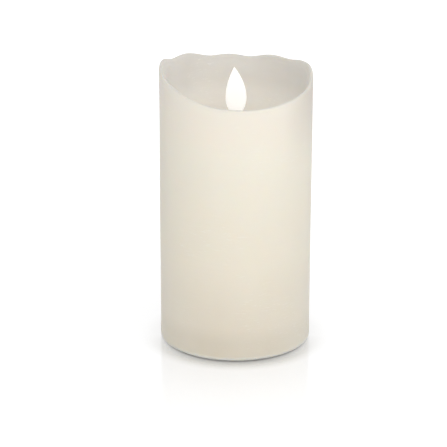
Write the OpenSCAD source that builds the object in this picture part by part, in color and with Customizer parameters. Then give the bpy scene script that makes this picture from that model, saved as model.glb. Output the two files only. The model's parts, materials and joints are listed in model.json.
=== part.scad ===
// Flameless LED pillar candle with a rocking flame, in millimetres.
// Z is up, the foot stands on z = 0, and the low front of the rim faces -Y.

/* [Candle] */
// Diameter of the wax pillar
candle_d = 80; // [76:0.5:110]
// Height of the highest point of the rim above the table
candle_h = 150; // [146:1:220]
// Thickness of the wax wall around the bore
wax_wall = 4.5; // [4:0.1:5]
// Thickness of the wax at the rim of the bowl
rim_wall = 4.2; // [3.5:0.1:5]
// Radius that rounds the foot of the wax
foot_round = 1.6; // [0.5:0.1:3]
// Thickness of the wax floor of the bowl at its middle
bowl_floor = 3.5; // [3:0.5:5]
// Height from the bowl's middle up to the highest point of the rim
bowl_depth = 30.5; // [28:0.5:34]

/* [Rim] */
// How far the front of the rim dips below the back
lip_dip = 7.5; // [4:0.1:10]
// Angle of the middle of the dip, from the front towards +X
lip_angle = 7; // [-30:1:30]
// Lift of the rim at its left side
left_lift = 4.3; // [0:0.1:5.5]
// Lift of the rim at its right side
right_lift = 4; // [0:0.1:5]
// Height of the tallest of the small waves along the rim
wave_h = 2.9; // [0:0.1:4]

/* [Base] */
// Height of the base housing
base_h = 22; // [21.5:0.5:30]
// Thickness of the flange that the wax stands on
flange_t = 1.2; // [1:0.1:2]
// How far the flange is set back from the wax
flange_inset = 1.4; // [0.8:0.1:2]
// Thickness of the bottom plate
plate_t = 2.4; // [2.4:0.1:3]
// Thickness of the walls of the base
base_wall = 1.6; // [1.2:0.1:1.8]
// Thickness of the base cover
cover_t = 1.5; // [1.2:0.1:2.5]

/* [Power] */
// Diameter of a battery cell
cell_d = 14.2; // [13.8:0.1:14.4]
// Length of a battery cell with its positive nub
cell_l = 50.5; // [49.5:0.1:51]
// Room along the well for one compressed spring
spring_room = 6.2; // [5:0.1:6.4]
// Thickness of the contact plates
contact_t = 0.4; // [0.3:0.1:0.6]
// Wire diameter of the contact springs
spring_wire = 0.7; // [0.5:0.1:0.9]
// Diameter of the hook-up wires
lead_d = 1.2; // [1:0.1:1.3]

/* [Switch] */
// Travel of the switch knob each way from its middle
switch_travel = 2; // [1:0.1:2.2]
// Length of the switch body
switch_l = 12; // [11:0.5:13]

/* [Flame module] */
// Outer diameter of the module tube
module_d = 30; // [28:0.5:31]
// Thickness of the module tube
module_wall = 1.7; // [1.4:0.1:2]
// Height of the module tube above the support column
module_h = 31; // [30.5:0.5:33]
// Diameter of the collar's neck in the bowl
neck_d = 26; // [24:0.5:27]
// Diameter of the mouth that the flame stands in
mouth_d = 17; // [15:0.5:19]
// Diameter of the pivot wire
pivot_d = 0.8; // [0.6:0.1:1]
// Radial clearance of the flame on its wire
pivot_gap = 0.08; // [0.05:0.01:0.1]

/* [Flame] */
// Height of the flame's point above its pivot
flame_h = 36.5; // [30:0.1:40]
// Width of the flame at its widest
flame_w = 11.2; // [9:0.1:13]
// Thickness of the flame's blade
flame_t = 1.8; // [1.2:0.1:2.4]
// Diameter of the magnet
magnet_d = 6; // [5:0.1:7]
// Height of the magnet
magnet_h = 3; // [2:0.1:4]
// Diameter of the LED lamp
led_d = 5; // [4.8:0.1:5]

/* [Hidden] */
$fn = 48;
seat = 0.3;              // gap between round pieces that slip together
snug = 0.1;              // gap at small bought-in pieces
cut = 1;                 // how far a cutting shape runs past its surface

candle_r = candle_d / 2;
bore_r = candle_r - wax_wall;
base_r = bore_r - seat;
inner_r = base_r - base_wall;
foot_r = candle_r - flange_inset;

// Battery well: two cells side by side along X, low enough to rest on the door.
cell_r = cell_d / 2;
cell_y = cell_r + 0.3;
door_z0 = 0.6;
door_t = 1.6;
door_z1 = door_z0 + door_t;
cell_z = door_z1 + 0.5 + cell_r;
well_x = (cell_l + spring_room + 2 * contact_t) / 2;
well_y = cell_y + cell_r + 0.5;
well_top = cell_z + cell_r + 0.5;
well_wall = 1.5;
roof_z = well_top + well_wall;

// Contact plates at the ends of the well.
plate_w = 11;
plate_z0 = 4.2;
plate_z1 = cell_z + 5;

// Battery door and its hinge bars.
hinge_x = -well_x - 1.25;
hinge_z = 1.5;
bar_r = 0.6;
knuckle_r = 1.2;
knuckle_w = 5;
door_x0 = hinge_x + 2;
door_x1 = well_x - 0.35;
door_y = well_y - 0.3;
knuckle_y = door_y - 4.2;
latch_w = 11;

// Cover screws, in the corners beside the well.
cover_screws = [[23, 21.5], [-23, 21.5], [23, -21.5], [-23, -21.5]];
screw_r = 1.1;
pilot_r = 1.15;
boss_r = 2.8;
column_screws = [90, 210, 330];
column_screw_r = 17.5;

// Board and switch, in the front segment of the base.
board_y0 = -30.5;
board_y1 = -18.2;
board_x = 17;
board_t = 1.6;
board_z0 = plate_t + 5.2;
board_z1 = board_z0 + board_t;
board_screw_x = 13;
board_screw_y = -26.2;
switch_y = -24;
switch_w = 6;
switch_h = board_z0 - plate_t;
knob_l = 4;
knob_w = 2.8;
slot_l = knob_l + 2 * switch_travel + 0.6;
recess_l = 16;
recess_w = 7;
recess_d = 1.2;

// Support column and flame module, stacked on the base cover.
cover_z1 = base_h + cover_t;
deck_z = candle_h - bowl_depth - bowl_floor;
module_r = module_d / 2;
module_in = module_r - module_wall;
collar_flange = 3;
module_top = deck_z - collar_flange;
module_z0 = module_top - module_h;
column_foot_r = 20.5;
column_foot_t = 2;
floor_t = 1.6;
coil_z0 = module_z0 + floor_t;
coil_h = 10.5;
coil_r = 7.5;
coil_core = 3.2;
coil_flange = 1.1;
ear_x = module_r + 3;
ear_r = 3;
neck_top = deck_z + bowl_floor + 0.6;

// Flame pendulum.
pivot_r = pivot_d / 2;
pivot_dip = 1;
pivot_z = module_top - pivot_dip;
pivot_half = 2.6;
wire_half = module_r - 0.4;
eye_r = 2.2;
eye_t = 3.2;
stem_h = 7;
stem_half = 2;
belly_h = 19.1;
arm_half = 1.4;
cup_z0 = pivot_z - 14;
cup_h = magnet_h + 1;
cup_r = magnet_d / 2 + 0.8;
magnet_proud = 0.4;

// LED lamp, leaning from the front of the module towards the flame.
led_r = led_d / 2;
led_lean = 24;
led_y = 3.7 - module_in;
led_z = pivot_z - 11.8;
led_l = 8.6;
lead_r = 0.25;
lead_x = 1.27;
lead_l = 5;

// Hook-up wires: centre lines as hand-chosen points.
via_z = base_h - 1.2;
wire_y = 3.1 - module_in;
shelf_z = base_h - 1.4;
lamp_end = [0, led_y - (lead_l + 0.1) * sin(led_lean), led_z - (lead_l + 0.1) * cos(led_lean)];

// ---------- helpers ----------

// A smooth hump of height 1 at angle c, down to 0 at w degrees to each side.
function turn(a) = a - 360 * floor((a + 180) / 360);
function hump(a, c, w) = abs(turn(a - c)) < w ? pow(cos(90 * turn(a - c) / w), 2) : 0;

// Height of the rim at angle a from the front, before it is set to the candle's height.
// Each wave is the angle of its crest and its share of the tallest wave's height.
waves = [[-139.5, 0.64], [-177, 0.61], [151.5, 1], [92.5, 0.32], [-100.5, 0.82]];
function rim_shape(a) = -lip_dip * hump(a, lip_angle, 102) + left_lift * hump(a, -103.5, 95)
    + right_lift * hump(a, 112.5, 43.5)
    + wave_h * ([for (w = waves) w[1]] * [for (w = waves) hump(a, w[0], 24)]);
rim_steps = 72;
rim_peak = max([for (i = [0 : rim_steps - 1]) rim_shape(i * 360 / rim_steps)]);
function rim_z(a) = candle_h - rim_peak + rim_shape(a);

module tube(r_out, r_in, h) {
    difference() {
        cylinder(r = r_out, h = h);
        translate([0, 0, -cut]) cylinder(r = r_in, h = h + 2 * cut);
    }
}

// A pan-head screw that points down, with its head's underside at z = 0.
module screw(l, head_r = 2.2, head_h = 1.3) {
    difference() {
        cylinder(r = head_r, h = head_h);
        for (a = [0, 90]) rotate(a) translate([-1.3, -0.3, head_h - 0.7]) cube([2.6, 0.6, 1]);
    }
    translate([0, 0, -l]) cylinder(r = screw_r, h = l + 0.2);
    translate([0, 0, -l - 0.8]) cylinder(r1 = 0.3, r2 = screw_r, h = 0.8);
}

// Direction helpers for sweeping a round section along points.
function unit(v) = v / norm(v);
function tangent(p, i) = unit(p[min(i + 1, len(p) - 1)] - p[max(i - 1, 0)]);
function side_of(t) = unit(cross(t, abs(t[1]) < 0.9 ? [0, 1, 0] : [1, 0, 0]));
function ring(c, t, r, n) = [for (k = [0 : n - 1])
    c + r * (cos(k * 360 / n) * side_of(t) + sin(k * 360 / n) * cross(t, side_of(t)))];

// A closed tube of radius r with n sides along the points p.
module sweep(p, r, n) {
    m = len(p);
    polyhedron(
        points = [for (i = [0 : m - 1]) each ring(p[i], tangent(p, i), r, n)],
        faces = concat(
            [[for (k = [n - 1 : -1 : 0]) k]],
            [for (i = [0 : m - 2], k = [0 : n - 1]) each [
                [i * n + k, i * n + (k + 1) % n, (i + 1) * n + (k + 1) % n],
                [i * n + k, (i + 1) * n + (k + 1) % n, (i + 1) * n + k]]],
            [[for (k = [0 : n - 1]) (m - 1) * n + k]]));
}

module lead(colour, p) {
    color(colour) sweep(p, lead_d / 2, 8);
}

// ---------- wax ----------

// Outline of the bowl from its middle to past the rim, turned round Z to cut it out.
module bowl() {
    mid_z = deck_z + bowl_floor;
    bowl_r = candle_r - rim_wall;
    rotate_extrude($fn = 96) polygon(concat(
        [[0, mid_z]],
        [for (a = [0 : 6 : 90]) [13 + (bowl_r - 13) * pow(sin(a), 0.8),
            mid_z + 15 * pow(1 - cos(a), 1.15)]],
        [[bowl_r + 0.6, candle_h + 2 * cut], [0, candle_h + 2 * cut]]));
}

// Everything above the wavy, rounded rim.
module above_rim() {
    crest_r = candle_r - rim_wall / 2;
    section = [[candle_r + 2, -4.2], [candle_r + 0.2, -1.9], [candle_r - 0.7, -0.55],
        [crest_r, 0], [candle_r - rim_wall + 0.7, -0.55], [candle_r - rim_wall - 0.4, -1.9],
        [candle_r - rim_wall - 2.4, -4.2], [candle_r - rim_wall - 2.4, 12], [candle_r + 2, 12]];
    n = len(section);
    polyhedron(
        points = [for (i = [0 : rim_steps - 1], s = section) let (a = i * 360 / rim_steps)
            [s[0] * sin(a), -s[0] * cos(a), rim_z(a) + s[1] + (s[1] > 1 ? 6 : 0)]],
        faces = [for (i = [0 : rim_steps - 1], k = [0 : n - 1])
            let (j = (i + 1) % rim_steps, m = (k + 1) % n) each [
                [i * n + k, j * n + k, j * n + m], [i * n + k, j * n + m, i * n + m]]]);
}

module wax_shell() {
    color("ivory") difference() {
        rotate_extrude($fn = 96) polygon(concat(
            [[0, flange_t]],
            [for (a = [-90 : 15 : 0]) [candle_r - foot_round + foot_round * cos(a),
                flange_t + foot_round + foot_round * sin(a)]],
            [[candle_r, candle_h], [0, candle_h]]));
        translate([0, 0, flange_t - cut])
            cylinder(r = bore_r, h = deck_z - flange_t + cut, $fn = 96);
        cylinder(r = neck_d / 2 + seat, h = candle_h, $fn = 64);
        bowl();
        above_rim();
    }
}

// ---------- base ----------

module door_opening() {
    translate([-well_x, -well_y, -cut]) cube([2 * well_x, 2 * well_y, well_top + cut]);
}

module hinge_pockets() {
    for (s = [-1, 1]) translate([hinge_x - 1.5, s * knuckle_y - knuckle_w / 2 - 0.3, -cut])
        cube([4, knuckle_w + 0.6, 3 + cut]);
}

module base_housing() {
    color("darkgray") difference() {
        union() {
            cylinder(r = foot_r, h = flange_t, $fn = 96);
            difference() {
                cylinder(r = base_r, h = base_h, $fn = 96);
                translate([0, 0, plate_t]) cylinder(r = inner_r, h = base_h, $fn = 96);
            }
            intersection() {
                cylinder(r = base_r - 0.5, h = base_h);
                translate([-well_x - well_wall, -well_y - well_wall, 0])
                    cube([2 * (well_x + well_wall), 2 * (well_y + well_wall), roof_z]);
            }
            intersection() {
                cylinder(r = base_r - 0.5, h = base_h);
                for (p = cover_screws) translate(p) cylinder(r = boss_r, h = base_h);
            }
            for (s = [-1, 1]) translate([s * board_screw_x, board_screw_y, 0])
                cylinder(r = 2.4, h = board_z0);
            for (s = [-1, 1]) translate([hinge_x, s * knuckle_y, plate_t])
                translate([-1.7, -knuckle_w / 2 - 1, -0.2]) cube([3.4, knuckle_w + 2, 1.6]);
        }
        door_opening();
        hinge_pockets();
        for (p = cover_screws) translate([p[0], p[1], plate_t + 3]) cylinder(r = pilot_r, h = base_h);
        for (s = [-1, 1]) translate([s * board_screw_x, board_screw_y, plate_t])
            cylinder(r = pilot_r, h = base_h);
        // Recess and slot of the switch.
        translate([-recess_l / 2, switch_y - recess_w / 2, -cut]) cube([recess_l, recess_w, recess_d + cut]);
        translate([-slot_l / 2, switch_y - knob_w / 2 - 0.2, 0]) cube([slot_l, knob_w + 0.4, plate_t + cut]);
        // Finger notch at the latch.
        translate([well_x, 0, -cut]) cylinder(r = 4.5, h = recess_d + cut);
        // Slots for the solder tabs of the end contacts.
        for (s = [-1, 1]) translate([well_x - contact_t - 0.3, s * cell_y - 1.5, well_top - cut])
            cube([contact_t + 0.3, 3, well_wall + 2 * cut]);
    }
    color("darkgray") for (s = [-1, 1]) translate([hinge_x, s * knuckle_y + knuckle_w / 2 + 0.5, hinge_z])
        rotate([90, 0, 0]) cylinder(r = bar_r, h = knuckle_w + 1);
}

module base_cover() {
    color("darkgray") difference() {
        union() {
            translate([0, 0, base_h]) cylinder(r = base_r, h = cover_t, $fn = 96);
            for (a = column_screws) rotate(a) translate([column_screw_r, 0, roof_z + 0.3])
                cylinder(r = 2.6, h = base_h - roof_z);
        }
        translate([0, 0, base_h - cut]) cylinder(r = module_in - 1, h = cover_t + 2 * cut);
        for (p = cover_screws) translate([p[0], p[1], base_h - cut])
            cylinder(r = screw_r + snug, h = cover_t + 2 * cut);
        for (a = column_screws) rotate(a) translate([column_screw_r, 0, roof_z - cut])
            cylinder(r = pilot_r, h = base_h);
    }
}

module cover_screws() {
    color("silver") for (p = cover_screws) translate([p[0], p[1], cover_z1]) screw(8);
}

module battery_door() {
    color("darkgray") difference() {
        union() {
            translate([door_x0, -door_y, door_z0]) cube([door_x1 - door_x0, 2 * door_y, door_t]);
            for (s = [-1, 1]) translate([hinge_x, s * knuckle_y, 0]) {
                translate([0, knuckle_w / 2, hinge_z]) rotate([90, 0, 0])
                    cylinder(r = knuckle_r, h = knuckle_w);
                translate([0, -knuckle_w / 2, door_z0]) cube([3, knuckle_w, door_t]);
            }
            // Stiffening rib in the valley between the cells.
            translate([-20, -0.6, door_z1 - 0.2]) cube([40, 1.2, 2.7]);
            // Grip ridges on the latch.
            for (x = [0 : 2]) translate([door_x1 - 2.2 - 1.6 * x, -3.5, door_z0 - 0.3])
                cube([0.8, 7, 0.5]);
        }
        // Running holes for the hinge bars, open at the top so that the door snaps on.
        for (s = [-1, 1]) translate([hinge_x, s * knuckle_y, hinge_z]) {
            translate([0, knuckle_w, 0]) rotate([90, 0, 0])
                cylinder(r = bar_r + pivot_gap, h = 2 * knuckle_w);
            rotate([0, -45, 0]) translate([-0.45, -knuckle_w, 0]) cube([0.9, 2 * knuckle_w, 3]);
        }
        // Slits that free the latch tongue.
        for (s = [-1, 1]) translate([door_x1 - 9, s * latch_w / 2 - 0.4, door_z0 - cut])
            cube([9 + cut, 0.8, door_t + 2 * cut]);
    }
}

// ---------- power ----------

// A cell along X, with its middle at the origin and its nub towards +X.
module cell() {
    body_l = cell_l - 1.3;
    rotate([0, 90, 0]) {
        translate([0, 0, -cell_l / 2 + 0.4]) cylinder(r = cell_r, h = body_l - 0.6);
        translate([0, 0, -cell_l / 2]) cylinder(r = cell_r - 1.6, h = body_l);
        translate([0, 0, cell_l / 2 - 1.4]) cylinder(r = 2.7, h = 1.4);
    }
}

module battery_cell_front() {
    color("dimgray") translate([well_x - contact_t - cell_l / 2, -cell_y, cell_z]) cell();
}

module battery_cell_rear() {
    color("dimgray") translate([-well_x + contact_t + cell_l / 2, cell_y, cell_z])
        rotate(180) cell();
}

module contact_bridge() {
    color("silver") translate([-well_x, -cell_y - plate_w / 2, plate_z0])
        cube([contact_t, 2 * cell_y + plate_w, plate_z1 - plate_z0]);
}

// An end contact with its solder tab through the roof of the well.
module end_contact(y) {
    translate([well_x - contact_t, y - plate_w / 2, plate_z0])
        cube([contact_t, plate_w, plate_z1 - plate_z0]);
    translate([well_x - contact_t, y - 1.2, plate_z1 - cut]) cube([contact_t, 2.4, roof_z - plate_z1 + 2]);
}

module contact_positive() {
    color("silver") end_contact(-cell_y);
}

module contact_negative() {
    color("silver") end_contact(cell_y);
}

// A cone spring along +X from its wide end at the origin.
module contact_spring() {
    turns = 4.5;
    steps = 54;
    wide = 4.6;
    narrow = 2.6;
    length = spring_room - spring_wire;
    sweep([for (i = [0 : steps]) let (t = i / steps, r = wide + (narrow - wide) * t,
        a = t * turns * 360) [spring_wire / 2 + length * t, r * cos(a), r * sin(a)]],
        spring_wire / 2 - 0.01, 6);
}

module spring_bridge() {
    color("silver") translate([-well_x + contact_t, -cell_y, cell_z]) contact_spring();
}

module spring_negative() {
    color("silver") translate([well_x - contact_t, cell_y, cell_z]) rotate(180) contact_spring();
}

// ---------- electronics ----------

module main_board() {
    color("darkgreen") difference() {
        intersection() {
            translate([-board_x, board_y0, board_z0]) cube([2 * board_x, board_y1 - board_y0, board_t]);
            cylinder(r = inner_r - 0.6, h = base_h);
        }
        for (s = [-1, 1]) translate([s * board_screw_x, board_screw_y, 0])
            cylinder(r = screw_r + snug, h = base_h);
    }
}

module board_screws() {
    color("silver") for (s = [-1, 1]) translate([s * board_screw_x, board_screw_y, board_z1])
        screw(5.5, 1.9, 1.1);
}

module switch_body() {
    color("silver") difference() {
        translate([-switch_l / 2, switch_y - switch_w / 2, plate_t])
            cube([switch_l, switch_w, switch_h]);
        translate([-slot_l / 2, switch_y - knob_w / 2 - 0.2, plate_t - cut])
            cube([slot_l, knob_w + 0.4, 3.2 + cut]);
    }
}

module switch_knob() {
    color("dimgray") difference() {
        translate([-knob_l / 2, switch_y - knob_w / 2, 0.5]) cube([knob_l, knob_w, plate_t + 2.4]);
        // Grip grooves under the fingertip.
        for (x = [-1.2, 0, 1.2]) translate([x - 0.25, switch_y - knob_w, 0.5 - cut])
            cube([0.5, 2 * knob_w, 0.3 + cut]);
    }
}

module controller_chip() {
    chip_x = -2;
    chip_y = -26;
    color("black") translate([chip_x - 2.5, chip_y - 2, board_z1 + 0.2]) cube([5, 4, 1.5]);
    color("silver") for (s = [-1, 1], k = [-1.5 : 1 : 1.5])
        translate([chip_x + 1.27 * k - 0.2, chip_y + s * 2.5 - 0.6, board_z1]) cube([0.4, 1.2, 0.5]);
}

module capacitor() {
    color("navy") translate([6.5, -25.5, board_z1]) {
        cylinder(r = 2.5, h = 0.8);
        translate([0, 0, 0.8]) cylinder(r = 2.3, h = 0.5);
        translate([0, 0, 1.3]) cylinder(r = 2.5, h = 5.7);
    }
}

module crystal() {
    color("silver") translate([-9, -23.2, board_z1]) {
        cylinder(r = 1.2, h = 0.4);
        cylinder(r = 1, h = 6);
    }
}

module resistors() {
    color("tan") for (x = [-6.6, 2.2]) translate([x, -27.5, board_z1]) cube([1.2, 2.4, 0.7]);
}

module transistor() {
    color("black") translate([6.2, -21.8, board_z1]) {
        translate([0, 0, 0.1]) cube([2.9, 1.4, 1]);
        for (p = [[0.3, -0.6], [2.2, -0.6], [1.25, 1.2]]) translate(p) cube([0.4, 0.8, 0.4]);
    }
}

// ---------- support column ----------

module support_column() {
    color("white") {
        translate([0, 0, cover_z1]) tube(module_r, module_in, module_z0 - cover_z1);
        difference() {
            translate([0, 0, cover_z1]) tube(column_foot_r, module_in, column_foot_t);
            for (a = column_screws) rotate(a) translate([column_screw_r, 0, base_h])
                cylinder(r = screw_r + snug, h = 3 * column_foot_t);
        }
    }
}

module column_screws() {
    color("silver") for (a = column_screws) rotate(a)
        translate([column_screw_r, 0, cover_z1 + column_foot_t]) screw(5);
}

// ---------- flame module ----------

module along_led() {
    translate([0, led_y, led_z]) rotate([-led_lean, 0, 0]) children();
}

module module_housing() {
    color("white") difference() {
        union() {
            translate([0, 0, module_z0]) tube(module_r, module_in, module_h);
            translate([0, 0, module_z0]) cylinder(r = module_r - 0.5, h = floor_t);
            // Spigot that plugs into the column.
            translate([0, 0, module_z0 - 4]) tube(module_in - 0.1, module_in - 1.4, 4.2);
            // Ring that locates the coil.
            translate([0, 0, coil_z0 - 0.2]) tube(coil_r + 1, coil_r + snug, 1.4);
            // Ears for the collar screws.
            for (s = [-1, 1]) translate([s * ear_x, 0, module_top - 10]) {
                cylinder(r = ear_r, h = 10);
                translate([s > 0 ? -4 : 0, -1.2, 0]) cube([4, 2.4, 10]);
            }
            // Clip that holds the lamp, with its web to the wall.
            intersection() {
                cylinder(r = module_in + 0.5, h = module_top);
                union() {
                    along_led() translate([0, 0, 1.2]) cylinder(r = led_r + 1.1, h = 4);
                    translate([-1.5, -module_r, led_z + 1.4]) cube([3, module_r + led_y - 1.5, 4.4]);
                }
            }
        }
        along_led() translate([0, 0, -cut]) cylinder(r = led_r + snug, h = led_l + 2 * cut);
        along_led() translate([0, 0, -3]) cylinder(r = led_r + 0.6, h = 4.1);
        for (s = [-1, 1]) translate([s * ear_x, 0, module_top - 9]) cylinder(r = pilot_r, h = 10);
        // Notches for the pivot wire.
        for (s = [-1, 1]) translate([-pivot_r - 0.05, s * module_r - 2.5, module_top - pivot_d - 0.05])
            cube([pivot_d + 0.1, 5, 3]);
        // Way through the floor for the four wires.
        translate([-5.4, wire_y - 0.9, module_z0 - cut]) cube([10.8, 1.8, floor_t + 2 * cut]);
    }
}

module module_collar() {
    color("ivory") difference() {
        union() {
            translate([0, 0, module_top]) cylinder(r = module_r, h = collar_flange);
            for (s = [-1, 1]) translate([s * ear_x, 0, module_top]) {
                cylinder(r = ear_r, h = collar_flange);
                translate([s > 0 ? -6 : 0, -ear_r, 0]) cube([6, 2 * ear_r, collar_flange]);
            }
            translate([0, 0, module_top]) cylinder(r = neck_d / 2, h = neck_top - module_top);
        }
        translate([0, 0, module_top - cut]) cylinder(r = mouth_d / 2, h = neck_top);
        // Funnel at the top of the mouth.
        translate([0, 0, neck_top - 1.2]) cylinder(r1 = mouth_d / 2, r2 = mouth_d / 2 + 1.6, h = 1.21);
        for (s = [-1, 1]) translate([s * ear_x, 0, 0]) {
            cylinder(r = screw_r + snug, h = candle_h);
            translate([0, 0, deck_z - 1.5]) cylinder(r = 2.3, h = 4);
        }
    }
}

module module_screws() {
    color("silver") for (s = [-1, 1]) translate([s * ear_x, 0, deck_z - 1.5]) screw(8);
}

// Straight in the middle, where the flame hangs, and raised at both ends.
module pivot_wire() {
    rise = pivot_dip - pivot_r;
    reach = 4;
    bend_r = pivot_r + 0.03;
    color("silver") {
        translate([0, pivot_half, pivot_z]) rotate([90, 0, 0]) cylinder(r = pivot_r, h = 2 * pivot_half);
        for (s = [-1, 1]) {
            translate([0, s * pivot_half, pivot_z]) {
                sphere(r = bend_r);
                rotate([-s * atan2(reach, rise), 0, 0]) cylinder(r = pivot_r, h = norm([reach, rise]));
            }
            translate([0, s * (pivot_half + reach), pivot_z + rise]) {
                sphere(r = bend_r);
                rotate([-s * 90, 0, 0]) cylinder(r = pivot_r, h = wire_half - pivot_half - reach);
            }
        }
    }
}

// Half width of the flame at height h above its pivot, drawn as a pointed drop.
function flame_half(h) = h < belly_h
    ? stem_half + (flame_w / 2 - stem_half) * pow(sin(90 * (h - stem_h) / (belly_h - stem_h)), 2)
    : flame_w / 2 * pow(cos(90 * pow((h - belly_h) / (flame_h - belly_h), 1.15)), 0.92);

module flame_tip() {
    steps = 18;
    levels = [for (k = [0 : steps]) stem_h + (flame_h - stem_h) * k / steps];
    color("white") difference() {
        translate([0, 0, pivot_z]) union() {
            rotate([90, 0, 0]) translate([0, 0, -flame_t / 2]) linear_extrude(flame_t)
                polygon(concat([for (h = levels) [flame_half(h), h]],
                    [for (k = [steps - 1 : -1 : 0]) [-flame_half(levels[k]), levels[k]]]));
            translate([-stem_half, -flame_t / 2, 0]) cube([2 * stem_half, flame_t, stem_h + 0.1]);
            rotate([90, 0, 0]) translate([0, 0, -eye_t / 2]) cylinder(r = eye_r, h = eye_t);
            // Arm that carries the magnet's cup.
            translate([-arm_half, -flame_t / 2, cup_z0 + cup_h - pivot_z - 0.2])
                cube([2 * arm_half, flame_t, pivot_z - cup_z0 - cup_h + 0.2]);
            translate([0, 0, cup_z0 - pivot_z]) cylinder(r = cup_r, h = cup_h);
        }
        translate([0, eye_t, pivot_z]) rotate([90, 0, 0])
            cylinder(r = pivot_r + pivot_gap, h = 2 * eye_t);
        translate([0, 0, cup_z0 - cut]) cylinder(r = magnet_d / 2 + 0.05, h = magnet_h - magnet_proud + cut);
    }
}

module flame_magnet() {
    color("silver") translate([0, 0, cup_z0 - magnet_proud]) cylinder(r = magnet_d / 2, h = magnet_h);
}

module coil_bobbin() {
    color("black") translate([0, 0, coil_z0]) difference() {
        union() {
            cylinder(r = coil_r, h = coil_flange);
            cylinder(r = coil_core, h = coil_h);
            translate([0, 0, coil_h - coil_flange]) cylinder(r = coil_r, h = coil_flange);
        }
        translate([0, 0, -cut]) cylinder(r = coil_core - 1.2, h = coil_h + 2 * cut);
    }
}

module coil_winding() {
    color("peru") translate([0, 0, coil_z0 + coil_flange])
        tube(coil_r - 0.7, coil_core, coil_h - 2 * coil_flange);
}

module led_lamp() {
    color("white") along_led() {
        cylinder(r = led_r + 0.4, h = 1);
        cylinder(r = led_r, h = led_l - led_r);
        translate([0, 0, led_l - led_r]) sphere(r = led_r);
    }
}

module led_leads() {
    color("silver") along_led() for (s = [-1, 1]) translate([s * lead_x, 0, -lead_l])
        cylinder(r = lead_r, h = lead_l);
}

// ---------- wires ----------

// A wire from the board at x, over the well's roof and up the column to a given end.
function riser(x, end) = [[x, -20, board_z1], [x, -20, 13], [x, -19.6, 17], [x, -17.5, via_z - 0.4],
    [x, wire_y - 2.3, via_z - 0.2], [x, wire_y - 0.4, via_z + 0.8], [x, wire_y, base_h + 4], [x, wire_y, 36],
    [x, wire_y, 48], [x, wire_y, 60], [x, wire_y, module_z0 - 8], [x, wire_y, module_z0 + 3], end];

module lamp_wire_positive() {
    lead("red", riser(-1.5, lamp_end - [lead_x, 0, 0]));
}

module lamp_wire_negative() {
    lead("black", riser(1.5, lamp_end + [lead_x, 0, 0]));
}

module coil_wire_left() {
    lead("white", riser(-4.5, [-4.2, -7, coil_z0 + 3]));
}

module coil_wire_right() {
    lead("royalblue", riser(4.5, [4.2, -7, coil_z0 + 3]));
}

module battery_wire_positive() {
    lead("red", [[well_x - 0.8, -cell_y, roof_z + 0.8], [26, -9, shelf_z], [24, -13, shelf_z],
        [20, -17, 19.4], [16, -19.6, 16.5], [15, -20, 13], [15, -20, board_z1]]);
}

module battery_wire_negative() {
    lead("black", [[well_x - 0.8, cell_y, roof_z + 0.8], [26, 5, shelf_z], [23.5, 1, shelf_z],
        [21.5, -5, shelf_z], [18.5, -12, shelf_z], [14, -17, 19.4], [11.5, -19.6, 17],
        [11, -20, 13], [11, -20, board_z1]]);
}

wax_shell();
base_housing();
base_cover();
cover_screws();
battery_door();
battery_cell_front();
battery_cell_rear();
contact_bridge();
contact_positive();
contact_negative();
spring_bridge();
spring_negative();
main_board();
board_screws();
switch_body();
switch_knob();
controller_chip();
capacitor();
crystal();
resistors();
transistor();
support_column();
column_screws();
module_housing();
module_collar();
module_screws();
pivot_wire();
flame_tip();
flame_magnet();
coil_bobbin();
coil_winding();
led_lamp();
led_leads();
lamp_wire_positive();
lamp_wire_negative();
coil_wire_left();
coil_wire_right();
battery_wire_positive();
battery_wire_negative();
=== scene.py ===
"""Looks of the flameless LED candle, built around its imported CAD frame. Metres, Z up, front towards -Y."""
import json
import math

import bpy
import numpy as np
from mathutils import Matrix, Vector


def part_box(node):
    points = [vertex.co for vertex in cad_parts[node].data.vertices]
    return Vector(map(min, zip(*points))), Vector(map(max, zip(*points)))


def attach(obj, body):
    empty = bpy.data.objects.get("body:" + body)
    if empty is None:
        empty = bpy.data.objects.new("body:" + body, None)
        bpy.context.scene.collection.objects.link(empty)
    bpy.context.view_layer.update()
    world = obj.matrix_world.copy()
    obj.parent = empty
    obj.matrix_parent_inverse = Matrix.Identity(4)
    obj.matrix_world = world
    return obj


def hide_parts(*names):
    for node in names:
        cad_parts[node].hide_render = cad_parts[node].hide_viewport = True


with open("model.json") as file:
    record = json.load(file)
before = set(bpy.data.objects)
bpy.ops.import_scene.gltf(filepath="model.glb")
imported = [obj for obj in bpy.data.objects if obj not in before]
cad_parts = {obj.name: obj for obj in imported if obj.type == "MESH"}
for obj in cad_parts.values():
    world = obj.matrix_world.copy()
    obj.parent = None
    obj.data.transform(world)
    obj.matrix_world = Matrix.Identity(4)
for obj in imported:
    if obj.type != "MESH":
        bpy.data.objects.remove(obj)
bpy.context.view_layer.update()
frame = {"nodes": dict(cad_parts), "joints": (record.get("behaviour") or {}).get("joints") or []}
NODES = frame["nodes"]
MM = 0.001

# Sizes shared with the CAD source, in millimetres: from the CAD boxes where one gives them.
WAX_LO, WAX_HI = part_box("wax_shell")
CANDLE_R = (WAX_HI.x - WAX_LO.x) / 2 / MM
CANDLE_H = WAX_HI.z / MM
FLANGE_T = WAX_LO.z / MM
HOUSING_LO, HOUSING_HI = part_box("base_housing")
FOOT_R = (HOUSING_HI.x - HOUSING_LO.x) / 2 / MM
COVER_LO, COVER_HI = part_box("base_cover")
SEAT = 0.3
BORE_R = (COVER_HI.x - COVER_LO.x) / 2 / MM + SEAT
RIM_WALL = 4.2
BOWL_FLOOR = 3.5
BOWL_DEPTH = 30.5
DECK_Z = CANDLE_H - BOWL_DEPTH - BOWL_FLOOR
HOLE_R = 13 + SEAT


# ---------- node materials ----------

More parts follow.
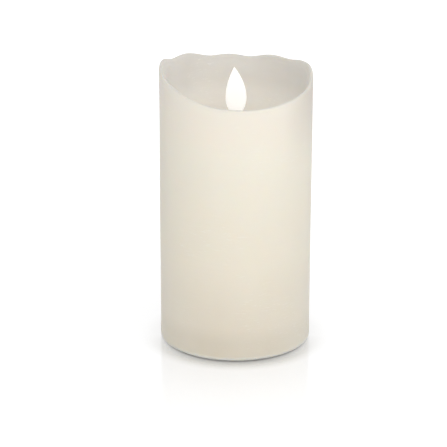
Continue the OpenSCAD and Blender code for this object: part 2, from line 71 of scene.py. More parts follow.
class Graph:
    """A small helper that builds one node material."""

    def __init__(self, name):
        self.mat = bpy.data.materials.new(name)
        self.mat.use_nodes = True
        self.tree = self.mat.node_tree
        self.bsdf = self.tree.nodes["Principled BSDF"]
        self.out = self.tree.nodes["Material Output"]
        self.coord = self.node("ShaderNodeTexCoord").outputs["Object"]

    def node(self, kind, **values):
        made = self.tree.nodes.new(kind)
        for key, value in values.items():
            setattr(made, key, value)
        return made

    def link(self, a, b):
        self.tree.links.new(a, b)

    def put(self, socket, value):
        """Links value if it is a socket, and sets it otherwise."""
        if isinstance(value, bpy.types.NodeSocket):
            self.link(value, socket)
        else:
            socket.default_value = value

    def stretch(self, scale):
        """Object coordinates scaled along each axis."""
        made = self.node("ShaderNodeMapping")
        self.link(self.coord, made.inputs["Vector"])
        made.inputs["Scale"].default_value = scale
        return made.outputs["Vector"]

    def noise(self, scale, detail=4.0, rough=0.55, vector=None, distort=0.0):
        made = self.node("ShaderNodeTexNoise")
        self.link(vector or self.coord, made.inputs["Vector"])
        made.inputs["Scale"].default_value = scale
        made.inputs["Detail"].default_value = detail
        made.inputs["Roughness"].default_value = rough
        made.inputs["Distortion"].default_value = distort
        return made.outputs["Fac"]

    def ramp(self, fac, stops):
        """A colour ramp from (position, colour) stops."""
        made = self.node("ShaderNodeValToRGB")
        self.link(fac, made.inputs["Fac"])
        points = made.color_ramp.elements
        while len(points) < len(stops):
            points.new(0.5)
        for point, (at, colour) in zip(points, stops):
            point.position = at
            point.color = (*colour, 1.0) if len(colour) == 3 else colour
        return made.outputs["Color"]

    def grey(self, fac, lo_at, hi_at, lo, hi):
        """Maps fac from one range to another, without going past it."""
        made = self.node("ShaderNodeMapRange")
        self.link(fac, made.inputs["Value"])
        for key, value in (("From Min", lo_at), ("From Max", hi_at), ("To Min", lo), ("To Max", hi)):
            made.inputs[key].default_value = value
        return made.outputs["Result"]

    def math(self, operation, a, b):
        made = self.node("ShaderNodeMath", operation=operation)
        self.put(made.inputs[0], a)
        self.put(made.inputs[1], b)
        return made.outputs[0]

    def mix(self, fac, a, b, blend="MIX"):
        made = self.node("ShaderNodeMix", data_type="RGBA", blend_type=blend)
        self.put(made.inputs["Factor"], fac)
        for socket, value in ((made.inputs["A"], a), (made.inputs["B"], b)):
            self.put(socket, (*value, 1.0) if isinstance(value, tuple) and len(value) == 3 else value)
        return made.outputs["Result"]

    def bump(self, height, distance, strength=1.0, under=None):
        made = self.node("ShaderNodeBump")
        self.link(height, made.inputs["Height"])
        made.inputs["Distance"].default_value = distance
        made.inputs["Strength"].default_value = strength
        if under is not None:
            self.link(under, made.inputs["Normal"])
        return made.outputs["Normal"]

    def xyz(self):
        made = self.node("ShaderNodeSeparateXYZ")
        self.link(self.coord, made.inputs["Vector"])
        return made.outputs["X"], made.outputs["Y"], made.outputs["Z"]

    def radius(self, x, y):
        """Distance from the candle's axis."""
        return self.math("SQRT", self.math("ADD", self.math("MULTIPLY", x, x), self.math("MULTIPLY", y, y)), 0.0)

    def finish(self, **inputs):
        names = {"color": "Base Color", "rough": "Roughness", "metal": "Metallic", "normal": "Normal",
                 "coat": "Coat Weight", "coat_rough": "Coat Roughness", "specular": "Specular IOR Level",
                 "emission": "Emission Color", "glow": "Emission Strength", "sss": "Subsurface Weight",
                 "sss_scale": "Subsurface Scale", "sheen": "Sheen Weight"}
        for key, value in inputs.items():
            if isinstance(value, tuple) and len(value) == 3:
                value = (*value, 1.0)
            self.put(self.bsdf.inputs[names[key]], value)
        return self.mat


def shade(colour, factor):
    """The same colour, lighter or darker."""
    return tuple(min(1.0, c * factor) for c in colour)


def wax_material():
    """Frosted ivory wax with painted shade: darker and warmer towards the foot, greyer in the bowl, darker at the
    upper right and on the rim's top; with painted light on the lower sides and the bowl's sides; with bloom and fine
    ripples.
    """
    g = Graph("ivory_wax")
    x, y, z = g.xyz()
    # Painted shade by height on the outer wall: darkest and warmest a few millimetres above the foot, lightest at
    # three quarters of the height, a little darker at the top.
    body = g.ramp(g.grey(z, 0.0, 0.15, 0.0, 1.0), [
        (0.0, (0.88, 0.87, 0.82)), (0.01, (0.82, 0.79, 0.71)), (0.02, (0.695, 0.635, 0.53)),
        (0.07, (0.70, 0.64, 0.535)), (0.12, (0.765, 0.70, 0.59)), (0.35, (0.85, 0.785, 0.665)),
        (0.75, (0.895, 0.84, 0.73)), (0.9, (0.86, 0.815, 0.735)), (1.0, (0.83, 0.80, 0.74))])
    radius = g.radius(x, y)
    above_deck = g.grey(z, 0.117, 0.119, 0.0, 1.0)
    inside = g.math("MULTIPLY", g.grey(radius, 0.0386, 0.0398, 1.0, 0.0), above_deck)
    # Painted shade inside the bowl: greyer towards the rim, warmer low down.
    bowl = g.ramp(g.grey(z, 0.119, 0.148, 0.0, 1.0), [
        (0.0, (0.72, 0.675, 0.60)), (0.62, (0.68, 0.665, 0.635)), (0.9, (0.615, 0.60, 0.57)),
        (1.0, (0.61, 0.595, 0.565))])
    # Painted shade: the upper right of the outer wall is darkened.
    right = g.math("MULTIPLY", g.grey(x, 0.024, 0.040, 0.0, 0.9), g.grey(z, 0.100, 0.138, 0.0, 1.0))
    body = g.mix(right, body, (0.67, 0.63, 0.57))
    # Painted light: the lower sides of the outer wall are lightened.
    painted_light_flanks = g.math("MULTIPLY", g.grey(g.math("ABSOLUTE", x, 0.0), 0.018, 0.038, 0.0, 0.3),
                    g.grey(z, 0.03, 0.08, 1.0, 0.0))
    body = g.mix(painted_light_flanks, body, (0.88, 0.85, 0.76))
    # Painted light on the bowl's inner walls: strong at the left, weaker at the right.
    bowl = g.mix(g.grey(x, -0.026, -0.037, 0.0, 0.7), bowl, (0.80, 0.78, 0.74))
    bowl = g.mix(g.grey(x, 0.028, 0.037, 0.0, 0.4), bowl, (0.80, 0.78, 0.74))
    colour = g.mix(inside, body, bowl)
    # Painted shade: the rim's up-facing surfaces, where light from above falls, are darkened.
    facing = g.node("ShaderNodeSeparateXYZ")
    g.link(g.node("ShaderNodeNewGeometry").outputs["Normal"], facing.inputs[0])
    edge = g.math("MULTIPLY", g.grey(facing.outputs["Z"], 0.0, 0.9, 0.0, 0.9),
                  g.math("MULTIPLY", g.grey(radius, 0.0358, 0.0368, 0.0, 1.0), above_deck))
    colour = g.mix(edge, colour, (0.56, 0.54, 0.50))
    cloud = g.noise(38, 3, 0.5)
    colour = g.mix(g.grey(cloud, 0.35, 0.7, 0.0, 0.10), colour, (0.93, 0.90, 0.83))
    streaks = g.noise(1.0, 3, 0.6, g.stretch((260, 260, 1500)))
    patches = g.grey(g.noise(30, 1, 0.5), 0.52, 0.66, 0.0, 1.0)
    frost = g.math("MULTIPLY", g.grey(streaks, 0.58, 0.72, 0.0, 0.30), patches)
    colour = g.mix(frost, colour, (0.96, 0.95, 0.91))
    ripple = g.noise(1.0, 3, 0.5, g.stretch((45, 45, 420)), 0.4)
    mottle = g.noise(170, 4, 0.6)
    grain = g.noise(1500, 2, 0.5)
    normal = g.bump(ripple, 0.00020, 0.30)
    normal = g.bump(mottle, 0.00025, 0.25, normal)
    normal = g.bump(grain, 0.00006, 0.35, normal)
    g.bsdf.inputs["Subsurface Radius"].default_value = (1.0, 0.72, 0.45)
    return g.finish(color=colour, rough=g.grey(cloud, 0.3, 0.7, 0.42, 0.58), normal=normal,
                    specular=0.2, sss=0.35, sss_scale=0.006, sheen=0.03)


def plastic(name, colour, rough=0.42, grain=900, depth=0.00004, specular=0.45, coat=0.0):
    """Moulded plastic with a fine spark-eroded grain and faint flow marks."""
    g = Graph(name)
    flow = g.noise(60, 3, 0.5, g.stretch((1.0, 2.5, 1.0)), 0.6)
    fine = g.noise(grain, 3, 0.6)
    tint = g.mix(g.grey(flow, 0.3, 0.7, 0.0, 1.0), shade(colour, 0.93), shade(colour, 1.03))
    tint = g.mix(g.grey(fine, 0.62, 0.75, 0.0, 0.25), tint, shade(colour, 0.8))
    normal = g.bump(fine, depth, 0.5)
    return g.finish(color=tint, rough=g.grey(fine, 0.3, 0.7, rough - 0.07, rough + 0.09), normal=normal,
                    specular=specular, coat=coat)


def metal(name, colour, rough=0.25, along=(1, 1, 1), streak=260, depth=0.000015, spots=0.0):
    """Plated or drawn metal with fine streaks, and a little tarnish where spots is above 0."""
    g = Graph(name)
    lines = g.noise(streak, 4, 0.6, g.stretch(along))
    cloud = g.noise(180, 3, 0.5)
    tint = g.mix(g.grey(lines, 0.3, 0.7, 0.0, 1.0), shade(colour, 0.86), shade(colour, 1.06))
    tint = g.mix(g.grey(cloud, 0.55, 0.75, 0.0, spots), tint, shade(colour, 0.5))
    return g.finish(color=tint, metal=1.0, rough=g.grey(lines, 0.3, 0.7, rough - 0.06, rough + 0.1),
                    normal=g.bump(lines, depth, 0.5))


def flame_material():
    """Milky plastic with a painted glow for the LED's light from below, fading out towards its foot, which is also a
    touch warmer.
    """
    g = Graph("flame_painted_glow")
    lo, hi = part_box("flame_tip")
    up = g.grey(g.xyz()[2], lo.z, hi.z, 0.0, 1.0)
    veil = g.noise(140, 3, 0.5)
    tone = g.ramp(up, [(0.0, (0.80, 0.72, 0.55)), (0.35, (0.95, 0.90, 0.78)), (0.45, (1.0, 0.985, 0.95)),
                       (1.0, (1.0, 0.995, 0.985))])
    tone = g.mix(g.grey(veil, 0.4, 0.7, 0.0, 0.12), tone, (1.0, 1.0, 1.0))
    # Painted glow: the blade's emission stands in for the LED's light and fades out towards its foot.
    glow = g.ramp(up, [(0.0, (0.02,) * 3), (0.28, (0.10,) * 3), (0.42, (0.34,) * 3), (1.0, (0.37,) * 3)])
    milk = g.mix(0.24, tone, (0.0, 0.0, 0.0))
    return g.finish(color=milk, emission=tone, glow=glow, rough=0.35, specular=0.3,
                    normal=g.bump(veil, 0.00005, 0.3))


def board_material():
    """Green solder mask over copper tracks, with tinned pads."""
    g = Graph("solder_mask")
    tracks = g.node("ShaderNodeTexBrick", offset=0.35)
    g.link(g.stretch((1, 1, 0)), tracks.inputs["Vector"])
    for key, value in (("Scale", 260.0), ("Mortar Size", 0.09), ("Mortar Smooth", 0.1), ("Brick Width", 1.7),
                       ("Row Height", 0.42), ("Bias", 0.0)):
        tracks.inputs[key].default_value = value
    mask = g.mix(tracks.outputs["Fac"], (0.012, 0.13, 0.05), (0.02, 0.24, 0.09))
    weave = g.noise(700, 2, 0.5)
    mask = g.mix(g.grey(weave, 0.4, 0.7, 0.0, 0.25), mask, (0.03, 0.30, 0.12))
    return g.finish(color=mask, rough=g.grey(weave, 0.3, 0.7, 0.22, 0.36), specular=0.5,
                    normal=g.bump(tracks.outputs["Fac"], 0.00004, 0.6))


def cell_material(lo, hi, nub_side):
    """A plain cell: dark sleeve with one light band, and bare steel at both ends."""
    g = Graph("cell_sleeve_right" if nub_side > 0 else "cell_sleeve_left")
    ends = (0.0, 1.0) if nub_side > 0 else (1.0, 0.0)
    along = g.grey(g.xyz()[0], lo.x, hi.x, *ends)
    scuff = g.noise(300, 4, 0.6)
    bands = g.ramp(along, [(0.0, (0.62, 0.62, 0.60)), (0.02, (0.025, 0.03, 0.035)), (0.70, (0.025, 0.03, 0.035)),
                           (0.705, (0.60, 0.46, 0.20)), (0.955, (0.60, 0.46, 0.20)), (0.96, (0.62, 0.62, 0.60))])
    bands.node.color_ramp.interpolation = "CONSTANT"
    colour = g.mix(g.grey(scuff, 0.6, 0.75, 0.0, 0.2), bands, (0.35, 0.35, 0.34))
    steel = g.ramp(along, [(0.0, (1,) * 3), (0.02, (0,) * 3), (0.955, (0,) * 3), (0.96, (1,) * 3)])
    return g.finish(color=colour, metal=steel, rough=g.grey(scuff, 0.3, 0.7, 0.22, 0.36),
                    normal=g.bump(scuff, 0.00002, 0.4))


def winding_material():
    """Enamelled copper laid in fine even turns."""
    g = Graph("copper_winding")
    turns = g.node("ShaderNodeTexWave", wave_type="BANDS", bands_direction="Z", wave_profile="SIN")
    g.link(g.coord, turns.inputs["Vector"])
    turns.inputs["Scale"].default_value = 1250.0
    tone = g.noise(500, 3, 0.5)
    colour = g.mix(g.grey(tone, 0.35, 0.7, 0.0, 1.0), (0.55, 0.20, 0.08), (0.80, 0.36, 0.16))
    return g.finish(color=colour, metal=1.0, rough=g.grey(tone, 0.3, 0.7, 0.24, 0.38),
                    normal=g.bump(turns.outputs["Fac"], 0.00012, 0.8))


def lamp_material():
    """Clear-white epoxy of the LED, lit from inside."""
    g = Graph("lamp_epoxy")
    cloud = g.noise(260, 3, 0.5)
    colour = g.mix(g.grey(cloud, 0.3, 0.7, 0.0, 1.0), (0.92, 0.88, 0.76), (0.98, 0.96, 0.90))
    return g.finish(color=colour, emission=(1.0, 0.93, 0.78), glow=0.5, coat=0.6,
                    rough=g.grey(cloud, 0.3, 0.7, 0.12, 0.24))


def paint(node, material):
    """Gives a CAD node its material in every slot."""
    obj = NODES[node]
    if not obj.data.materials:
        obj.data.materials.append(material)
    for i in range(len(obj.data.materials)):
        obj.data.materials[i] = material


def soften(node, width):
    """A small rounded edge, as on any moulded or pressed piece."""
    made = NODES[node].modifiers.new("edge", "BEVEL")
    made.width = width
    made.segments = 2
    made.limit_method = "ANGLE"
    made.angle_limit = math.radians(50)


# ---------- geometry helpers ----------

def grid_mesh(name, rows, close_rows=True):
    """A mesh from rows of points, closed round each row, and from the last row to the first if asked."""
    rows = np.asarray(rows, float)
    n, m = rows.shape[:2]
    faces = []
    for i in range(n if close_rows else n - 1):
        j = (i + 1) % n
        for k in range(m):
            faces.append((i * m + k, i * m + (k + 1) % m, j * m + (k + 1) % m, j * m + k))
    if not close_rows:
        faces += [tuple(range(m))[::-1], tuple((n - 1) * m + k for k in range(m))]
    mesh = bpy.data.meshes.new(name)
    mesh.from_pydata((rows.reshape(-1, 3) * MM).tolist(), [], faces)
    mesh.validate()
    mesh.polygons.foreach_set("use_smooth", [True] * len(mesh.polygons))
    obj = bpy.data.objects.new(name, mesh)
    bpy.context.scene.collection.objects.link(obj)
    return obj


def place(obj, body, slot, material, *nodes):
    """Puts a new piece on its body, in place of CAD nodes; slot is not used."""
    obj.data.materials.append(material)
    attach(obj, body)
    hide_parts(*nodes)
    return obj


# ---------- wax ----------

# The rim, as in the CAD source: millimetres, and degrees from the front.
LIP_DIP, LIP_ANGLE, LIP_WIDTH = 7.5, 7, 102
LEFT_LIFT, LEFT_ANGLE, LEFT_WIDTH = 4.3, -103.5, 95
RIGHT_LIFT, RIGHT_ANGLE, RIGHT_WIDTH = 4.0, 112.5, 43.5
WAVE_H, WAVE_WIDTH = 2.9, 24
WAVES = ((-139.5, 0.64), (-177, 0.61), (151.5, 1.0), (92.5, 0.32), (-100.5, 0.82))
HEM = 0.5          # the wax skirt outside the base flange stands this far above the floor
HEM_ROUND = 1.9


def hump(a, centre, width):
    """A smooth hump of height 1 at centre, down to 0 at width degrees to each side."""
    off = (a - centre + 180) % 360 - 180
    return np.where(np.abs(off) < width, np.cos(np.radians(90 * off / width)) ** 2, 0.0)


def rim_shape(a):
    """Rise and fall of the rim at angle a, before it is set to the candle's height."""
    lifts = LEFT_LIFT * hump(a, LEFT_ANGLE, LEFT_WIDTH) + RIGHT_LIFT * hump(a, RIGHT_ANGLE, RIGHT_WIDTH)
    waves = sum(WAVE_H * share * hump(a, crest, WAVE_WIDTH) for crest, share in WAVES)
    return -LIP_DIP * hump(a, LIP_ANGLE, LIP_WIDTH) + lifts + waves


def rim_height(a):
    """Height of the rim at angle a from the front, in millimetres."""
    peak = rim_shape(np.arange(0, 360, 5.0)).max()
    return CANDLE_H - peak + rim_shape(a)


def smooth_noise(a, z, seed, waves, size):
    """Seeded, soft, all-round variation over angle a and height z."""
    rng = np.random.default_rng(seed)
    total = np.zeros(np.broadcast(a, z).shape)
    for _ in range(waves):
        turns = rng.integers(1, 9)
        rate = rng.uniform(0.01, 0.11)
        phase, lean = rng.uniform(0, 2 * math.pi, 2)
        total += np.sin(np.radians(a) * turns + phase) * np.sin(z * rate + lean)
    return size * total / math.sqrt(waves)


def resample(points, count):
    """The same line with its points spread evenly."""
    points = np.asarray(points, float)
    at = np.concatenate([[0], np.cumsum(np.linalg.norm(np.diff(points, axis=0), axis=1))])
    want = np.linspace(0, at[-1], count)
    return np.stack([np.interp(want, at, points[:, k]) for k in range(2)], 1)


def smooth_line(points, count):
    """A soft curve through the points, as a Catmull-Rom spline."""
    p = np.concatenate([[2 * points[0] - points[1]], points, [2 * points[-1] - points[-2]]])
    out = []
    for a, b, c, d in zip(p, p[1:], p[2:], p[3:]):
        for u in np.linspace(0, 1, 6, endpoint=False):
            out.append(0.5 * (2 * b + (c - a) * u + (2 * a - 5 * b + 4 * c - d) * u ** 2
                              + (3 * b - a - 3 * c + d) * u ** 3))
    return resample(np.array(out + [points[-1]]), count)


def wax_profile(rim):
    """Closed outline of the wall at one angle, as radius and height, with the rim at the given height."""
    mid_z = DECK_Z + BOWL_FLOOR
    bowl_r = CANDLE_R - RIM_WALL
    t = np.radians(np.arange(0, 91, 3))
    floor = np.stack([HOLE_R + (bowl_r - HOLE_R) * np.sin(t) ** 0.8, mid_z + 15 * (1 - np.cos(t)) ** 1.15], 1)
    inner = resample(np.concatenate([floor, [[bowl_r + 0.6, CANDLE_H + 2.0]]]), 400)
    inner = inner[inner[:, 1] < rim - 6.5]
    start = inner[-1]
    slope = np.array([start, [start[0] + 0.25, rim - 5.0], [CANDLE_R - 3.3, rim - 3.0],
                      [CANDLE_R - 2.3, rim - 1.3], [CANDLE_R - 1.6, rim - 0.35], [CANDLE_R - 1.0, rim],
                      [CANDLE_R - 0.4, rim - 0.35], [CANDLE_R - 0.1, rim - 1.1], [CANDLE_R, rim - 2.2]])
    crest = smooth_line(slope, 26)
    foot = np.radians(np.arange(0, -91, -15))
    soft = CANDLE_R - FOOT_R - 0.15
    base = np.stack([CANDLE_R - soft + soft * np.cos(foot), HEM + HEM_ROUND * (1 + np.sin(foot))], 1)
    seat_z = FLANGE_T + 0.02
    return np.concatenate([
        resample([[HOLE_R, DECK_Z], [HOLE_R, mid_z]], 4)[:-1],
        resample(inner, 60)[:-1],
        crest,
        resample([crest[-1], [CANDLE_R, HEM + 2.4]], 90)[1:],
        base,
        resample([base[-1], [base[-1][0], seat_z], [BORE_R, seat_z], [BORE_R, DECK_Z],
                  [HOLE_R, DECK_Z]], 24)[1:-1]])


def make_wax(material):
    """The wax pillar, one profile for each degree, with a little unevenness of the cast wax."""
    angles = np.arange(0, 360, 1.0)
    rims = rim_height(angles)
    rows = []
    for a, rim in zip(angles, rims):
        line = wax_profile(rim)
        r, z = line[:, 0].copy(), line[:, 1].copy()
        outside = r > CANDLE_R - 2.2
        fade = np.clip((z - 4) / 8, 0, 1)
        soft = smooth_noise(a, z, 5, 14, 0.10) * fade
        r = np.where(outside, r - 0.12 * fade + np.clip(soft, -0.25, 0.12), r)
        bowl = (z > DECK_Z + BOWL_FLOOR + 0.2) & (r < CANDLE_R - 2.2)
        r = np.where(bowl, r + 1.4 * smooth_noise(a, z, 11, 12, 0.12) * np.clip((r - 16) / 10, 0, 1), r)
        turn = math.radians(a)
        rows.append(np.stack([r * math.sin(turn), -r * math.cos(turn), z], 1))
    wax = grid_mesh("wax_pillar", rows)
    return place(wax, "candle", "wax", material, "wax_shell")


# ---------- flame ----------

FLAME_LO, FLAME_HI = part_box("flame_tip")
PIVOT = next(j for j in frame["joints"] if j["name"] == "flame_swing")["pos_m"]
PIVOT_Z = PIVOT[2] / MM
FLAME_TOP = FLAME_HI.z / MM - PIVOT_Z
FLAME_W = (FLAME_HI.x - FLAME_LO.x) / MM
STEM_H = 7.0
STEM_HALF = 2.0
BELLY_H = 19.1
FLAME_T = 1.8
FLAME_LEAN = 1.0      # the tip leans this far to the left
TIP_SHORT = 0.35      # and ends this far under the CAD tip
SLIM = 0.965
WIRE_R = 0.4
MAGNET_LO, MAGNET_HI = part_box("flame_magnet")
MAGNET_R = (MAGNET_HI.x - MAGNET_LO.x) / 2 / MM
CUP_R = MAGNET_R + 0.8
CUP_TOP = MAGNET_LO.z / MM + 4.4


def flame_half(h):
    """Half the flame's width at height h above its pivot."""
    if h < BELLY_H:
        rise = math.sin(math.radians(90 * max(0.0, h - STEM_H) / (BELLY_H - STEM_H)))
        return STEM_HALF + (FLAME_W / 2 - STEM_HALF) * rise ** 2
    share = min(1.0, ((h - BELLY_H) / (FLAME_TOP - 0.3 - BELLY_H)) ** 1.15)
    return FLAME_W / 2 * max(0.0, math.cos(math.radians(90 * share))) ** 0.92


def lathe(points, steps, centre=(0, 0, 0), axis="Z"):
    """Rows of a turned shape from (radius, height) points, about Z or, lying down, about Y."""
    turn = np.linspace(0, 2 * math.pi, steps, endpoint=False)
    rows = []
    for r, h in points:
        around, across = r * np.cos(turn), r * np.sin(turn)
        flat = np.full(steps, float(h))
        row = (around, across, flat) if axis == "Z" else (around, flat, across)
        rows.append(np.stack(row, 1) + np.array(centre))
    return rows


def join(name, pieces):
    """Makes one object of several."""
    with bpy.context.temp_override(active_object=pieces[0], selected_editable_objects=pieces,
                                   selected_objects=pieces):
        bpy.ops.object.join()
    pieces[0].name = name
    return pieces[0]


def oval(half, deep, z, power, shift=0.0, sides=40):
    """One row of points round an oval; a power under 1 squares it off."""
    t = np.linspace(0, 2 * math.pi, sides, endpoint=False)
    x = shift + half * np.sign(np.cos(t)) * np.abs(np.cos(t)) ** power
    y = deep * np.sign(np.sin(t)) * np.abs(np.sin(t)) ** power
    return np.stack([x, y, np.full(sides, z)], 1)


def make_flame(material):
    """The milky blade as a lens-shaped moulding, with its stem, eye, arm and the cup of its magnet."""
    rows = []
    for h in np.concatenate([np.linspace(1.6, STEM_H, 5)[:-1], np.linspace(STEM_H, FLAME_TOP - TIP_SHORT, 70)]):
        half = max(SLIM * flame_half(h), 0.04)
        thick = FLAME_T / 2 * min(1.0, 0.2 + half / 3.0)
        lean = -FLAME_LEAN * max(0.0, (h - BELLY_H) / (FLAME_TOP - BELLY_H)) ** 2
        rows.append(oval(half, thick, PIVOT_Z + h, 0.9, lean))
    blade = grid_mesh("flame_blade", rows, close_rows=False)
    eye = grid_mesh("flame_eye", lathe(
        [(WIRE_R + 0.08, -1.5), (WIRE_R + 0.25, -1.6), (1.9, -1.6), (2.2, -1.3), (2.2, 1.3), (1.9, 1.6),
         (WIRE_R + 0.25, 1.6), (WIRE_R + 0.08, 1.5)], 40, (0, 0, PIVOT_Z), "Y"))
    arm_rows = []
    for z, half, deep in ((PIVOT_Z - 1.4, 1.4, 0.9), (PIVOT_Z - 5, 1.4, 0.9), (CUP_TOP + 1.2, 1.4, 0.9),
                          (CUP_TOP + 0.4, 1.7, 1.2), (CUP_TOP - 0.3, 2.2, 1.7)):
        arm_rows.append(oval(half, deep, z, 0.4))
    arm = grid_mesh("flame_arm", arm_rows[::-1], close_rows=False)
    cup = grid_mesh("flame_cup", lathe(
        [(MAGNET_R + 0.02, CUP_TOP - 4), (MAGNET_R + 0.5, CUP_TOP - 4), (CUP_R, CUP_TOP - 3.7),
         (CUP_R, CUP_TOP - 0.4), (CUP_R - 0.4, CUP_TOP), (0.05, CUP_TOP), (0.05, CUP_TOP - 1.2),
         (MAGNET_R + 0.02, CUP_TOP - 1.2)], 48))
    flame = join("flame_blade", [blade, eye, arm, cup])
    return place(flame, "flame", "flame_plastic", material, "flame_tip")


# ---------- stage ----------

def make_camera():
    """Looks down on the candle at about 19 degrees, through a long lens."""
    pitch = math.radians(18.993)
    aim = Vector((-0.00634, 0.0, 0.06279))
    back = Vector((0, -math.cos(pitch), math.sin(pitch)))
    data = bpy.data.cameras.new("camera")
    data.sensor_width = 36.0
    data.lens = 153.98
    data.clip_start, data.clip_end = 0.05, 50.0
    cam = bpy.data.objects.new("camera", data)
    cam.location = aim + back * 1.01441
    cam.rotation_euler = (math.pi / 2 - pitch, 0, 0)
    cam.rotation_euler.rotate_axis("Z", math.radians(0.139))
    bpy.context.scene.collection.objects.link(cam)
    bpy.context.scene.camera = cam


def floor_material():
    """White floor that keeps the object's shadow from the lamps, with a painted shadow where the foot meets it,
    strongest in front, a painted shade dimming it near the candle, and a faint sheen of the candle close to the
    foot.
    """
    g = Graph("floor_white")
    g.tree.nodes.remove(g.bsdf)
    seen = g.node("ShaderNodeLightPath")
    x, y, _ = g.xyz()
    radius = g.radius(x, y)
    # Painted shadow round the foot: occlusion within 12 mm darkens the floor's colour, fully in front of the foot
    # and much less at its sides and back.
    crevice = g.node("ShaderNodeAmbientOcclusion", samples=8)
    crevice.inputs["Distance"].default_value = 0.012
    shade_here = g.ramp(crevice.outputs["AO"], [
        (0.0, (0.12, 0.117, 0.108)), (0.45, (0.42, 0.412, 0.39)), (0.75, (0.70, 0.69, 0.665)),
        (0.88, (0.885, 0.88, 0.868)), (1.0, (1.0, 1.0, 1.0))])
    painted_contact_shadow = g.mix(g.grey(y, -0.038, -0.002, 0.0, 0.8), shade_here, (1.0, 1.0, 1.0))
    soft = g.node("ShaderNodeBsdfDiffuse")
    g.link(g.mix(1.0, (0.15, 0.15, 0.15), painted_contact_shadow, "MULTIPLY"), soft.inputs["Color"])
    fill = g.node("ShaderNodeEmission")
    g.link(painted_contact_shadow, fill.inputs["Color"])
    # Painted shade: the floor's own glow is dimmer close to the candle.
    g.link(g.grey(radius, 0.05, 0.25, 0.87, 1.02), fill.inputs["Strength"])
    lit = g.node("ShaderNodeAddShader")
    g.link(soft.outputs[0], lit.inputs[0])
    g.link(fill.outputs[0], lit.inputs[1])
    gloss = g.node("ShaderNodeBsdfGlossy")
    gloss.inputs["Color"].default_value = (1, 1, 1, 1)
    gloss.inputs["Roughness"].default_value = 0.12
    shine = g.node("ShaderNodeMixShader")
    g.link(g.grey(radius, FOOT_R * MM, 0.15, 0.25, 0.0), shine.inputs["Fac"])
    g.link(lit.outputs[0], shine.inputs[1])
    g.link(gloss.outputs[0], shine.inputs[2])
    plain = g.node("ShaderNodeBsdfDiffuse")
    plain.inputs["Color"].default_value = (0.62, 0.62, 0.62, 1)
    pick = g.node("ShaderNodeMixShader")
    mirrored = g.math("MAXIMUM", seen.outputs["Is Glossy Ray"], seen.outputs["Is Transmission Ray"])
    g.link(g.math("MAXIMUM", seen.outputs["Is Camera Ray"], mirrored), pick.inputs["Fac"])
    g.link(plain.outputs[0], pick.inputs[1])
    g.link(shine.outputs[0], pick.inputs[2])
    clear = g.node("ShaderNodeBsdfTransparent")
    side = g.node("ShaderNodeNewGeometry")
    both = g.node("ShaderNodeMixShader")
    g.link(side.outputs["Backfacing"], both.inputs["Fac"])
    g.link(pick.outputs[0], both.inputs[1])
    g.link(clear.outputs[0], both.inputs[2])
    g.link(both.outputs[0], g.out.inputs["Surface"])
    return g.mat


def make_floor():
    """A wide ring: the candle's foot covers the hole in its middle, so the underside can be seen from below."""
    steps = 128
    t = np.linspace(0, 2 * math.pi, steps, endpoint=False)
    radii = [FOOT_R - 2.0, 60, 120, 400, 4000]
    points = [(r * MM * math.cos(a), r * MM * math.sin(a), 0.0) for r in radii for a in t]
    faces = []
    for i in range(len(radii) - 1):
        for k in range(steps):
            after = (k + 1) % steps
            faces.append((i * steps + k, (i + 1) * steps + k, (i + 1) * steps + after, i * steps + after))
    mesh = bpy.data.meshes.new("floor")
    mesh.from_pydata(points, [], faces)
    floor = bpy.data.objects.new("floor", mesh)
    mesh.materials.append(floor_material())
    bpy.context.scene.collection.objects.link(floor)


def area_light(name, place_at, aim, size, power, colour=(1, 1, 1)):
    """A soft rectangular lamp at place_at, aimed at aim."""
    data = bpy.data.lights.new(name, "AREA")
    data.shape = "RECTANGLE"
    data.size, data.size_y = size
    data.energy = power
    data.color = colour
    light = bpy.data.objects.new(name, data)
    light.location = place_at
    light.rotation_euler = (Vector(aim) - Vector(place_at)).to_track_quat("-Z", "Y").to_euler()
    bpy.context.scene.collection.objects.link(light)


def make_world():
    """Even white surroundings: full white where they are seen, dimmer as light on the candle."""
    world = bpy.data.worlds.new("studio")
    world.use_nodes = True
    tree = world.node_tree
    sky = tree.nodes["Background"]
    sky.inputs["Color"].default_value = (1, 1, 1, 1)
    seen = tree.nodes.new("ShaderNodeLightPath")
    either = tree.nodes.new("ShaderNodeMath")
    either.operation = "MAXIMUM"
    tree.links.new(seen.outputs["Is Camera Ray"], either.inputs[0])
    tree.links.new(seen.outputs["Is Glossy Ray"], either.inputs[1])
    every = tree.nodes.new("ShaderNodeMath")
    every.operation = "MAXIMUM"
    tree.links.new(either.outputs[0], every.inputs[0])
    tree.links.new(seen.outputs["Is Transmission Ray"], every.inputs[1])
    level = tree.nodes.new("ShaderNodeMapRange")
    tree.links.new(every.outputs[0], level.inputs["Value"])
    level.inputs["To Min"].default_value = 0.73
    level.inputs["To Max"].default_value = 1.0
    tree.links.new(level.outputs["Result"], sky.inputs["Strength"])
    bpy.context.scene.world = world


def make_lights():
    """Broad soft lights: one high in front, a low front one, and a little more from the right than from the left."""
    area_light("high", (0.06, -0.7, 0.85), (0, 0, 0.1), (0.6, 0.6), 3.4, (1.0, 0.99, 0.97))
    area_light("front", (0.0, -1.1, 0.25), (0, 0, 0.075), (0.9, 0.6), 1.3, (1.0, 0.985, 0.96))
    area_light("right", (0.8, -0.3, 0.7), (0, 0, 0.1), (0.5, 0.5), 1.0)
    area_light("left", (-0.9, -0.25, 0.3), (0, 0, 0.08), (0.6, 0.6), 0.03, (0.95, 0.99, 1.0))


# ---------- the candle ----------

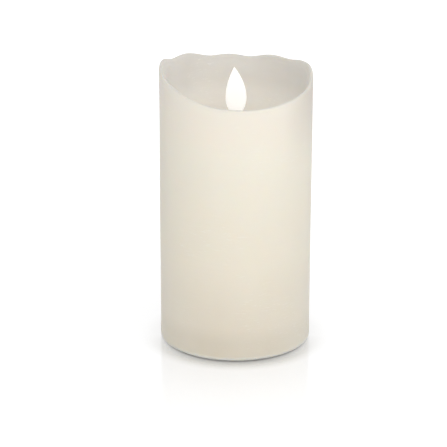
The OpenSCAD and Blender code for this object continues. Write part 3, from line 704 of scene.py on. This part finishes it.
def paint_all():
    """Gives each carried-over CAD node its material."""
    # The base plastic's grey partly stands in for shade: it is set dark to give the dark line under the wax's foot,
    # which is partly shadow where the foot meets the floor.
    base = plastic("base_plastic", (0.41, 0.40, 0.38))
    steel = metal("zinc_plate", (0.62, 0.62, 0.60), 0.30, (1, 1, 6), spots=0.3)
    wire = metal("spring_wire", (0.66, 0.65, 0.62), 0.20, (1, 1, 1))
    nickel = metal("nickel_plate", (0.72, 0.70, 0.66), 0.16, (1, 6, 1), spots=0.15)
    tin = metal("tinned_sheet", (0.60, 0.60, 0.58), 0.30, (6, 1, 1), spots=0.2)
    resin = plastic("black_resin", (0.03, 0.03, 0.032), 0.45, 1200)
    wires = {"red": plastic("wire_red", (0.55, 0.02, 0.015), 0.3, 1400, 0.00001),
             "black": plastic("wire_black", (0.02, 0.02, 0.02), 0.3, 1400, 0.00001),
             "white": plastic("wire_white", (0.75, 0.75, 0.73), 0.3, 1400, 0.00001),
             "blue": plastic("wire_blue", (0.03, 0.09, 0.40), 0.3, 1400, 0.00001)}
    module = plastic("module_plastic", (0.78, 0.78, 0.76), 0.4)
    looks = {
        "base_housing": base, "base_cover": base,
        "battery_door": plastic("door_plastic", (0.39, 0.38, 0.36), 0.5, 650, 0.00007),
        "cover_screws": steel, "board_screws": steel, "column_screws": steel, "module_screws": steel,
        "battery_cell_front": cell_material(*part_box("battery_cell_front"), 1),
        "battery_cell_rear": cell_material(*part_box("battery_cell_rear"), -1),
        "contact_bridge": nickel, "contact_positive": nickel, "contact_negative": nickel,
        "spring_bridge": wire, "spring_negative": wire, "pivot_wire": wire,
        "main_board": board_material(), "switch_body": tin,
        "switch_knob": plastic("knob_plastic", (0.045, 0.045, 0.05), 0.4, 800),
        "controller_chip": resin, "transistor": resin, "coil_bobbin": resin,
        "capacitor": plastic("capacitor_sleeve", (0.02, 0.03, 0.10), 0.25, 900, 0.00001, coat=0.4),
        "crystal": tin, "led_leads": tin,
        "resistors": plastic("resistor_body", (0.05, 0.05, 0.055), 0.35),
        "support_column": module, "module_housing": module,
        "module_collar": plastic("collar_plastic", (0.83, 0.79, 0.69), 0.42, 800),
        "flame_magnet": nickel, "coil_winding": winding_material(), "led_lamp": lamp_material(),
        "lamp_wire_positive": wires["red"], "lamp_wire_negative": wires["black"],
        "coil_wire_left": wires["white"], "coil_wire_right": wires["blue"],
        "battery_wire_positive": wires["red"], "battery_wire_negative": wires["black"]}
    for node, material in looks.items():
        paint(node, material)
    for node, width in (("base_housing", 0.00015), ("battery_door", 0.00015), ("module_collar", 0.0002),
                        ("switch_knob", 0.00012), ("contact_bridge", 0.00005)):
        soften(node, width)


def main():
    make_camera()
    make_world()
    make_lights()
    make_floor()
    paint_all()
    make_wax(wax_material())
    make_flame(flame_material())
    bpy.context.scene.view_settings.view_transform = "Standard"


main()
